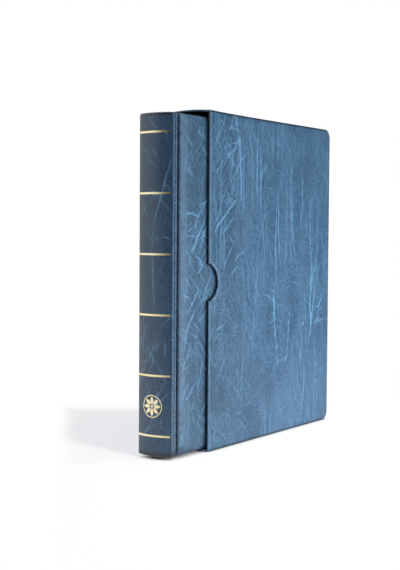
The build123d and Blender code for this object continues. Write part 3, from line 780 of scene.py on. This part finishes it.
def stuffing_swell():
    """How far the stuffing lifts a cover, 0 to 1, on a coarse grid: a sheet held round its edge and
    blown up by the cloth solver."""
    across = np.linspace(0, 1, STUFFING_ACROSS)
    up = np.linspace(0, 1, STUFFING_UP)[:, None]
    sheet = Sheet()
    size = np.array([FORE_EDGE_X - COVER_START_X, HEAD - TAIL])
    sheet.grid(stacked(across * size[0], 0.0, up * size[1]))
    cloth = sheet.piece("stuffing_trial")
    places = np.array([vertex.co for vertex in cloth.data.vertices])[:, [0, 2]]
    rim = cloth.vertex_groups.new(name="rim")
    to_edge = np.minimum(places, size - places).min(axis=1)
    rim.add(np.flatnonzero(to_edge < STUFFING_RIM).tolist(), 1.0, "REPLACE")
    settings = cloth.modifiers.new("stuffing", "CLOTH").settings
    configure(settings, quality=6, vertex_group_mass="rim", use_pressure=True, uniform_pressure_force=4.0)
    settings.effector_weights.gravity = 0.0
    for step in range(1, STUFFING_FRAMES + 1):
        scene.frame_set(step)
    blown = cloth.evaluated_get(bpy.context.evaluated_depsgraph_get()).to_mesh()
    after = np.array([vertex.co for vertex in blown.vertices])
    cell = np.rint(places / size * (STUFFING_ACROSS - 1, STUFFING_UP - 1)).astype(int)
    lift = np.zeros((STUFFING_UP, STUFFING_ACROSS))
    lift[cell[:, 1], cell[:, 0]] = np.abs(after[:, 1])
    bpy.data.objects.remove(cloth)
    scene.frame_set(1)
    return lift / lift.max()


def spline_weight(offset, neighbour):
    """Quadratic B-spline weight of the nearest cell, neighbour 0, or of the one before or after it."""
    return 0.75 - offset**2 if neighbour == 0 else (0.5 + neighbour * offset) ** 2 / 2


def smooth_lookup(grid, s, t):
    """A coarse grid read at shares s across and t up, by a quadratic B-spline over three by three cells."""
    padded = np.pad(grid, 1, mode="edge")
    x, y = s * (grid.shape[1] - 1), t * (grid.shape[0] - 1)
    i, j = np.rint(x).astype(int), np.rint(y).astype(int)
    total = np.zeros_like(x)
    for down, over in np.ndindex(3, 3):
        weight = spline_weight(y - j, down - 1) * spline_weight(x - i, over - 1)
        total += padded[j + down, i + over] * weight
    return total


def soft_places(low, high, low_edge, high_edge, pitch):
    """Places across a padded face, bunched by a cosine rule where it falls away to its two edges."""
    bunch = 1 - np.cos(np.linspace(0, np.pi / 2, WIDE_QUARTER))
    middle = steps(low + low_edge, high - high_edge, pitch)
    return joined(low + low_edge * bunch, middle, high - high_edge * bunch[::-1])


def soft_fall(distance, edge):
    """A quarter ellipse's height at a distance in from an edge, from 0 to 1."""
    return np.sqrt(np.clip(1 - (1 - np.clip(distance / edge, 0, 1)) ** 2, 0, None))


def cover_sheet(creases, swell, side):
    """A padded cover: a face that stands over its outline by the product of two quarter-ellipse falls, with
    the stuffing's swell on top, then a wall down the board and the edge turned in on the inside."""
    shown = COVER_START_X + COVER_FINE_REACH
    across, fine = (soft_places(COVER_START_X, FORE_EDGE_X, PAD_JOINT_EDGE, PAD_SOFT_EDGE, pitch)
                    for pitch in (2 * PITCH, FINE_PITCH))
    across = np.concatenate([fine[fine < shown], across[across > shown + PITCH]])
    z_line = soft_places(TAIL, HEAD, PAD_SOFT_EDGE, PAD_SOFT_EDGE, COVER_PITCH_UP)
    pulled = corner_draw(np.minimum(z_line - TAIL, HEAD - z_line), COVER_CORNER)[:, None]
    width, height = FORE_EDGE_X - COVER_START_X, HEAD - TAIL
    x = COVER_START_X + pulled + (across - COVER_START_X) / width * (width - 2 * pulled)
    z = np.broadcast_to(z_line[:, None], x.shape)
    left, right = x - x[:, :1], x[:, -1:] - x
    along = np.where(left < right, soft_fall(left, PAD_JOINT_EDGE), soft_fall(right, PAD_SOFT_EDGE))
    form = along * soft_fall(np.minimum(z - TAIL, HEAD - z), PAD_SOFT_EDGE)
    crease = read_map(creases, x - COVER_START_X, z - TAIL)
    lift = smooth_lookup(swell, (x - COVER_START_X) / width, (z - TAIL) / height)
    rim_level = PAD_FACE - PAD_FALL
    y = rim_level + form * (PAD_FALL + STUFFING_SWELL * (lift - 1) - CREASE_DEPTH * crease)
    sheet = Sheet()
    # Painted shade where the pad falls to its foot and a painted highlight where it falls to its other edges.
    # Along the shoulder by the joint, painted shade at the groove's edge and a painted highlight past it
    fallen = (1 - form) * np.where(z < TAIL + PAD_SOFT_EDGE, -FOOT_SHADE, SIDE_HIGHLIGHT)
    shoulder = np.interp(left / MM, *zip(*SHOULDER_PAINTED_LIGHT))
    fallen = np.where(fallen < 0, np.minimum(fallen, shoulder), shoulder + fallen * (1 - np.abs(shoulder)))
    sheet.grid(stacked(x, side * y, z), crease, fallen, flip=side > 0)

    flat = border(stacked(x, z))
    margin = np.array([0, 0, TURN_ROUND, TURN_IN / 2, TURN_IN])
    level = np.array([rim_level, COVER_INNER + TURN_FALL, COVER_INNER, COVER_INNER, COVER_INNER])
    place = flat - margin[:, None, None] * loop_normals(flat)
    fading = border(crease) * np.linspace(1, 0.3, len(margin))[:, None]
    edging = stacked(place[..., 0], side * level[:, None], place[..., 1])
    sheet.grid(edging, fading, border(fallen), flip=side < 0, around=True)
    return sheet


# Spine


def rounded_path(corners, radii, pitch):
    """A path through corners, each rounded by its own radius, in even steps. A rounded corner is an arc of
    that radius touching both runs, its points the straight blend of its two ends pushed out to the arc."""
    corners = np.array(corners)
    points = [corners[:1]]
    for before, corner, after, radius in zip(corners, corners[1:], corners[2:], radii):
        back, ahead = (arm / np.linalg.norm(arm) for arm in (before - corner, after - corner))
        half = math.acos(back @ ahead) / 2
        start, end = corner + back * radius / math.tan(half), corner + ahead * radius / math.tan(half)
        centre = corner + (back + ahead) / np.linalg.norm(back + ahead) * radius / math.sin(half)
        share = np.linspace(0, 1, 9)[:, None]
        arm = (start - centre) * (1 - share) + (end - centre) * share
        points.append(centre + radius * arm / np.linalg.norm(arm, axis=1, keepdims=True))
    points = np.concatenate(points + [corners[-1:]])
    travelled = travel(points)
    even = steps(0, travelled[-1], pitch)
    return stacked(*(np.interp(even, travelled, line) for line in points.T))


def spine_profile():
    """The spine's outside seen from above, from one cover over both joints to the other: a groove, a
    joint with two ridges, each a raised cosine, the joint's side round, the spine's arc, and back."""
    middle_x = APEX_X + SPINE_RADIUS
    lean = math.asin((JOINT_FACE - JOINT_SIDE_ROUND) / (SPINE_RADIUS - JOINT_SIDE_ROUND))
    side_x = middle_x - (SPINE_RADIUS - JOINT_SIDE_ROUND) * math.cos(lean)
    groove_x, floor = APEX_X + JOINT_LENGTH, JOINT_FACE - GROOVE_DEPTH
    corners = (COVER_START_X, -floor), (groove_x, -floor), (groove_x, -JOINT_FACE), (side_x, -JOINT_FACE)
    joint = rounded_path(corners, GROOVE_ROUNDS, JOINT_PITCH)
    for place in RIDGE_PLACES:
        near = np.clip(np.abs(joint[:, 0] - APEX_X - place) / (RIDGE_WIDTH / 2), 0, 1)
        joint[:, 1] -= RIDGE_HEIGHT * (1 + np.cos(np.pi * near)) / 2
    turn = np.linspace(0, np.pi / 2 - lean, QUARTER)[1:]
    side_centre = np.array([side_x, JOINT_SIDE_ROUND - JOINT_FACE])
    side_round = side_centre - JOINT_SIDE_ROUND * stacked(np.sin(turn), np.cos(turn))
    sweep = steps(lean, -lean, FINE_PITCH / SPINE_RADIUS)[1:-1]
    arc = stacked(middle_x - SPINE_RADIUS * np.cos(sweep), -SPINE_RADIUS * np.sin(sweep))
    front = np.concatenate([joint, side_round])
    return np.concatenate([front, arc, front[::-1] * np.array([1, -1])])


def spine_sheet(creases):
    """The spine's skin: its profile carried from tail to head, drawn in by a quarter circle at both ends,
    and an inner face that gives it its thickness."""
    profile = spine_profile()
    inward = path_normals(profile)
    travelled = travel(profile)
    on_round = smoothstep((APEX_X + ROUND_LENGTH - profile[:, 0]) / ROUND_FADE)
    end_round = JOINT_END_ROUND + (SPINE_END_ROUND - JOINT_END_ROUND) * on_round
    wall = SKIN + (SPINE_WALL - SKIN) * on_round
    wall = wall * smoothstep(np.minimum(travelled, travelled[-1] - travelled) / WALL_FADE)
    # Painted highlight on the joint's ridge tops, and painted shade beside them and in the groove
    joint_light = np.interp((profile[:, 0] - APEX_X) / MM, *zip(*JOINT_PAINTED_LIGHT))

    turn = np.linspace(0, np.pi / 2, QUARTER)[:, None]
    rise = end_round * (1 - np.cos(turn))
    fall = np.minimum(end_round * (1 - np.sin(turn)), wall)
    share = steps(0, 1, PITCH / (HEAD - TAIL))[1:-1, None]
    short = JOINT_END_LIFT * (1 - on_round)
    tail_z, head_z = TAIL + short, HEAD - short
    middle = (tail_z + end_round) * (1 - share) + (head_z - end_round) * share
    z = np.concatenate([tail_z + rise, middle, head_z - rise[::-1]])
    crease = read_map(creases, np.broadcast_to(travelled, z.shape), z - TAIL)
    draw = np.concatenate([fall, np.zeros_like(middle), fall[::-1]]) + CREASE_DEPTH * crease
    # Painted shade over the foot's round and fading up from it, and over the head's round on the spine
    foot = np.full((QUARTER, len(wall)), -FOOT_SHADE)
    near_foot = -FOOT_SHADE * np.exp(-(middle - middle[0]) / FOOT_FADE)
    ends = np.concatenate([foot, near_foot, -HEAD_SHADE * np.sin(turn[::-1]) * on_round])
    painted_light = np.where(ends < -LEAST_SHADE, np.minimum(ends, joint_light), joint_light)
    face = stacked(profile[:, 0] + inward[:, 0] * draw, profile[:, 1] + inward[:, 1] * draw, z)
    back = profile + inward * wall[:, None]
    tail, head = stacked(back[:, 0], back[:, 1], tail_z), stacked(back[:, 0], back[:, 1], head_z)
    sheet = Sheet()
    sheet.grid(face, crease, painted_light, flip=True)
    for pair in ((tail, face[0]), (face[-1], head), (head, tail)):
        sheet.grid(np.stack(pair), flip=True)
    return sheet


# Crease families, in millimetres and degrees: how many, where they start across and up, heading and its
# spread, lengths, strengths, how far they wander, how much they branch, half width

PANEL_CREASES = (
    (1, (57, 57), (236, 238), (90, 1), (80, 84), (1.0, 1.0), 0.1, 2, 1.4),
    (2, (88, 95), (228, 238), (90, 1.2), (76, 90), (0.9, 1.0), 0.1, 2, 1.5),
    (1, (5, 6), (209, 212), (43, 1), (58, 62), (1.0, 1.0), 0.2, 2, 1.1),
    (9, (0, 40), (240, 318), (46, 12), (20, 60), (0.7, 1.0), 0.35, 2, 1.0),
    (7, (0, 40), (250, 318), (-42, 12), (16, 40), (0.7, 0.9), 0.35, 2, 1.0),
    (10, (0, 46), (60, 250), (48, 16), (14, 46), (0.7, 0.95), 0.35, 2, 1.0),
    (2, (196, 224), (80, 90), (84, 3), (88, 98), (0.9, 1.0), 0.3, 3, 1.3),
    (2, (90, 94), (150, 154), (-25, 6), (40, 50), (0.6, 0.8), 0.3, 3, 1.0),
    (18, (70, 150), (50, 165), (62, 34), (18, 50), (0.45, 0.72), 0.4, 1.2, 0.9),
    (16, (40, 240), (10, 255), (88, 9), (60, 130), (0.5, 0.8), 0.25, 1.6, 1.6),
    (24, (10, 235), (12, 165), (5, 28), (5, 18), (0.6, 0.9), 0.5, 0.6, 0.9),
)
COVER_CREASES = (
    (20, (0, 44), (4, 200), (56, 12), (20, 56), (0.8, 1.0), 0.35, 1.6, 1.05),
    (34, (2, 46), (110, 312), (-46, 10), (10, 26), (0.7, 0.95), 0.3, 0.4, 0.85),
    (8, (6, 42), (185, 240), (20, 26), (12, 26), (0.8, 1.0), 0.4, 0.8, 0.95),
    (14, (2, 46), (20, 310), (88, 10), (24, 60), (0.5, 0.75), 0.3, 1, 0.9),
    (14, (40, 226), (10, 280), (70, 24), (30, 90), (0.6, 0.9), 0.4, 1, 1.1),
    (8, (0, 220), (0, 240), (88, 8), (50, 120), (0.5, 0.8), 0.2, 1, 1.1),
)
SPINE_CREASES = (
    (1, (12, 12), (280, 281), (-76, 1), (84, 86), (1.0, 1.0), 0.14, 0, 1.1),
    (1, (32, 32), (202, 203), (-91, 1), (76, 80), (1.0, 1.0), 0.12, 1, 1.1),
    (14, (10, 36), (170, 312), (50, 10), (10, 34), (0.75, 1.0), 0.25, 0.8, 0.85),
    (34, (8, 50), (20, 160), (-54, 12), (14, 44), (0.75, 1.0), 0.35, 1.5, 0.85),
    (8, (20, 52), (40, 130), (-96, 14), (12, 36), (0.7, 1.0), 0.35, 1, 0.85),
)
STRIP_CREASES = (
    (70, (0, 820), (0, 41), (0, 45), (8, 40), (0.4, 0.8), 0.4, 1, 0.9),
)


# Studio


def make_camera():
    """Looks along CAMERA_FORWARD, with the horizon turned by CAMERA_ROLL."""
    forward = CAMERA_FORWARD.normalized()
    level = forward.cross(Vector((0, 0, 1))).normalized()
    right = level * math.cos(CAMERA_ROLL) + level.cross(forward) * math.sin(CAMERA_ROLL)
    data = configure(bpy.data.cameras.new("camera"), sensor_fit="HORIZONTAL", sensor_width=SENSOR,
                     lens=FOCAL_PIXELS * SENSOR / IMAGE_WIDTH, clip_start=0.05, clip_end=30)
    turn = Matrix((right, right.cross(forward), -forward)).transposed()
    place = Matrix.Translation(CAMERA_PLACE) @ turn.to_4x4()
    scene.camera = new_object("camera", data, matrix_world=place)


def add_softbox(name, bearing, rise, distance, size, power):
    """A square area lamp at a bearing in degrees from +X and a rise over the horizontal, aimed at the
    object's middle. It lights the object without showing in it."""
    turn, lift = math.radians(bearing), math.radians(rise)
    away = Vector((math.cos(turn) * math.cos(lift), math.sin(turn) * math.cos(lift), math.sin(lift)))
    data = configure(bpy.data.lights.new(name, "AREA"), size=size, energy=power)
    place = Vector((0, 0, CASE_MIDDLE)) + away * distance
    turn = away.to_track_quat("Z", "Y").to_euler()
    new_object(name, data, location=place, rotation_euler=turn, visible_camera=False, visible_glossy=False)


AMBIENT = 0.22
BACKDROP_SIDE = (0.15, 0.6)


def make_world():
    """White to the camera. Glossy and transmission rays see white on the backdrop's side, +Y, and dark on the
    other, and everything else gets an even ambient light."""
    world = bpy.data.worlds.new("studio")
    scene.world = world
    tree = empty_tree(world)
    direct, mirrored = tree.rays()
    side = tree.add("SeparateXYZ", {0: tree.add("TexCoord").outputs["Generated"]}).outputs["Y"]
    room = tree.math("SUBTRACT", tree.ramp(side, *BACKDROP_SIDE), AMBIENT)
    lit = tree.times(mirrored, room, AMBIENT)
    strength = tree.times(direct, tree.math("SUBTRACT", 1.0, lit), lit)
    background = tree.add("Background", {"Color": (1, 1, 1, 1), "Strength": strength})
    tree.add("OutputWorld", {"Surface": background.outputs[0]})


# The floor as it is seen directly, as other rays see it near and far, and where along Y its mirror image
# brightens. Then the lines past which the floor's own light paints out the shadow, each a direction and
# the fade along it, and the tint

FLOOR_HALF = 6.0
FLOOR_SEEN, FLOOR_LIFT, FLOOR_WHITE_FROM = (0.66, 0.65, 0.6, 1), 0.71, (0.35, 0.8)
FLOOR_BOUNCE, FLOOR_FAR, FLOOR_FAR_FROM = (0.85, 0.85, 0.86, 1), (0.2, 0.2, 0.2, 1), (0.25, 0.8)
FLOOR_FRONT = (-0.3, 0.1)
SHADOW_ENDS = (((-0.642, 0.767, 0), (0.184, 0.208)), ((0.834, 0.552, 0), (0.125, 0.18)))
SHADOW_TINT = (0.955, 0.963, 1, 1)

# Open sky over the floor: how far it is looked for, samples, and the ramp that dims the floor for want of it.
# The short reach makes the contact shadow, and the long one darkens the floor inside the empty binder

FLOOR_SKIES = ((0.009, 8, (0.25, 0.85, 0.1, 1.0)), (0.08, 32, (0.12, 0.38, 0.0, 1.0)))


def make_floor():
    """A wide pale floor. Seen directly, light of its own brings it to white and keeps the object's shadow, a
    little bluer, and dims where the sky over it is covered. Farther out it is plain white, and past two
    lines fixed on the floor its own light paints the shadow out. Other rays get a bounce that dies away
    from the object."""
    corners = [(-1, -1, 0), (1, -1, 0), (1, 1, 0), (-1, 1, 0)]
    mesh = bpy.data.meshes.new("floor")
    mesh.from_pydata([Vector(corner) * FLOOR_HALF for corner in corners], [], [(0, 1, 2, 3)])
    material = bpy.data.materials.new("floor_white")
    tree = empty_tree(material)
    place = tree.place()
    away = tree.vector("LENGTH", place)
    past = tree.ramp(away, *FLOOR_WHITE_FROM)
    for line, ends in SHADOW_ENDS:
        past = tree.math("MAXIMUM", past, tree.ramp(tree.vector("DOT_PRODUCT", place, line), *ends))
    direct, mirrored = tree.rays()
    seen = tree.math("MAXIMUM", direct, mirrored)
    shown = tree.mix(past, FLOOR_SEEN, (0, 0, 0, 1))
    bounced = tree.mix(tree.ramp(away, *FLOOR_FAR_FROM), FLOOR_BOUNCE, FLOOR_FAR)
    lift = tree.times(past, 1 - FLOOR_LIFT, FLOOR_LIFT)
    for reach, samples, opening in FLOOR_SKIES:
        sky = tree.add("AmbientOcclusion", {"Distance": reach}, samples=samples).outputs["AO"]
        lift = tree.times(lift, tree.ramp(sky, *opening))
    front = tree.add("SeparateXYZ", {0: place}).outputs["Y"]
    lift = tree.times(lift, tree.math("MAXIMUM", direct, tree.ramp(front, *FLOOR_FRONT, 0.1, 1.0)))
    tree.surface({
        "Base Color": tree.mix(seen, bounced, shown),
        "Roughness": 0.9,
        "Specular IOR Level": 0.0,
        "Emission Color": tree.mix(past, SHADOW_TINT, (1, 1, 1, 1)),
        "Emission Strength": tree.times(seen, lift),
    })
    mesh.materials.append(material)
    floor = new_object("floor", mesh)


# Assembly


def make_materials():
    """The leatherettes and the smooth finishes by name. CAD nodes that stay get theirs here."""
    crushed, handled = leatherette_effect(), handled_effect()
    finishes = {name: leatherette(f"{name}_leatherette", crushed, *look) for name, look in LEATHERS.items()}
    for name, (*look, nodes) in SMOOTH.items():
        finishes[name] = smooth_finish(name, handled, *look)
        for node in nodes.split():
            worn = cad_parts[node].data.materials
            worn.clear()
            worn.append(finishes[name])
    return finishes


def make_slipcase(finishes):
    """Panels, strip and lining. The back panel reads the front's creases upside down."""
    creases = crease_map(11, REAR_X - MOUTH_X, CASE_TOP, PANEL_CREASES)
    for side, name in ((-1, "front"), (1, "back")):
        add_piece(panel_sheet(creases[::-side], side), f"slipcase_{name}_leatherette", "slipcase",
                  finishes["case"], "leatherette", f"slipcase_{name}_covering")
    creases = crease_map(12, 2 * (REAR_X - MOUTH_X) + CASE_TOP, 2 * PANEL_INNER, STRIP_CREASES)
    add_piece(strip_sheet(creases), "slipcase_edge_leatherette", "slipcase", finishes["case"], "leatherette",
              "slipcase_top_covering", "slipcase_rear_covering", "slipcase_bottom_covering",
              "slipcase_edge_board")
    add_piece(lining_sheet(), "slipcase_lining_paper", "slipcase", finishes["lining_paper"], "black_paper",
              "slipcase_front_lining", "slipcase_back_lining", "slipcase_edge_lining")


def make_binder(finishes):
    """Padded covers and spine. The back cover reads the front's creases upside down."""
    creases = crease_map(21, FORE_EDGE_X - COVER_START_X, HEAD - TAIL, COVER_CREASES)
    swell = stuffing_swell()
    for side, name in ((-1, "front"), (1, "back")):
        cover = add_piece(cover_sheet(creases[::-side], swell, side), f"{name}_cover_leatherette", "binder",
                          finishes["cover"], "leatherette", f"{name}_cover_covering", f"{name}_cover_pad")
    creases = crease_map(22, SPINE_AROUND, HEAD - TAIL, SPINE_CREASES)
    add_piece(spine_sheet(creases), "spine_leatherette", "binder", finishes["spine"], "leatherette",
              "spine_covering", "front_joint_covering", "back_joint_covering")


scene.view_settings.view_transform = "Standard"
make_camera()
make_world()
add_softbox("key", -45, -2, 1.8, 0.35, 23)
add_softbox("top", -113, 53, 2.0, 0.25, 11)
add_softbox("bounce", -84, -29, 0.33, 0.24, 1.15)
make_floor()
finishes = make_materials()
make_slipcase(finishes)
make_binder(finishes)
